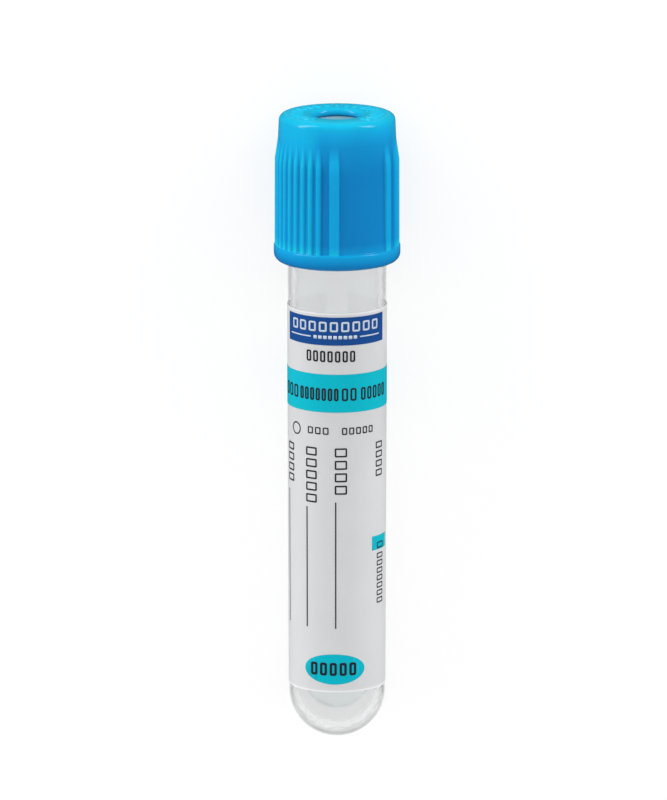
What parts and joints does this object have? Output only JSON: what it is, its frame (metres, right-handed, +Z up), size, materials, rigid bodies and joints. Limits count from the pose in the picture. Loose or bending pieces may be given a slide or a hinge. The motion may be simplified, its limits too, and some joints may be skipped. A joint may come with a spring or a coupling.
{
  "type": "blood collection tube",
  "caption": "Capped vacuum tube for a citrated blood sample, with a ribbed cap that a needle can enter, a rubber stopper and a label with plain blocks for print, lying on its side.",
  "frame": {"origin": "On the surface that the tube lies on, under the middle of its length and width", "axes": "+Y along the tube towards its cap, 1.9 degrees short of the tube's own axis, which rises towards the cap; +Z up, out of the label's front; +X to the right with the cap away from the viewer"},
  "size_m": [0.0166, 0.084, 0.0169],
  "materials": {
    "clear_pet": "gloss",
    "citrate_solution": "gloss",
    "grey_rubber": "matte",
    "light_blue_plastic": "satin",
    "white_label_film": "satin",
    "navy_ink": "satin",
    "pale_ink": "satin",
    "teal_ink": "satin",
    "dark_ink": "satin"
  },
  "bodies": {
    "tube": {"tube": "clear_pet", "additive": "citrate_solution", "label": "white_label_film", "print_navy": "navy_ink", "print_pale": "pale_ink", "print_teal": "teal_ink", "print_dark": "dark_ink"},
    "stopper": {"stopper": "grey_rubber"},
    "cap": {"cap": "light_blue_plastic"}
  },
  "joints": [
    {"name": "closure_pull", "type": "slide", "parent": "tube", "child": "stopper", "axis": [0, 0.9994, 0.0338], "range_m": [0, 0.03]},
    {"name": "cap_twist", "type": "hinge", "parent": "stopper", "child": "cap", "pos_m": [0, 0.04171, 0.00892], "axis": [0, 0.9994, 0.0338], "continuous": true}
  ]
}
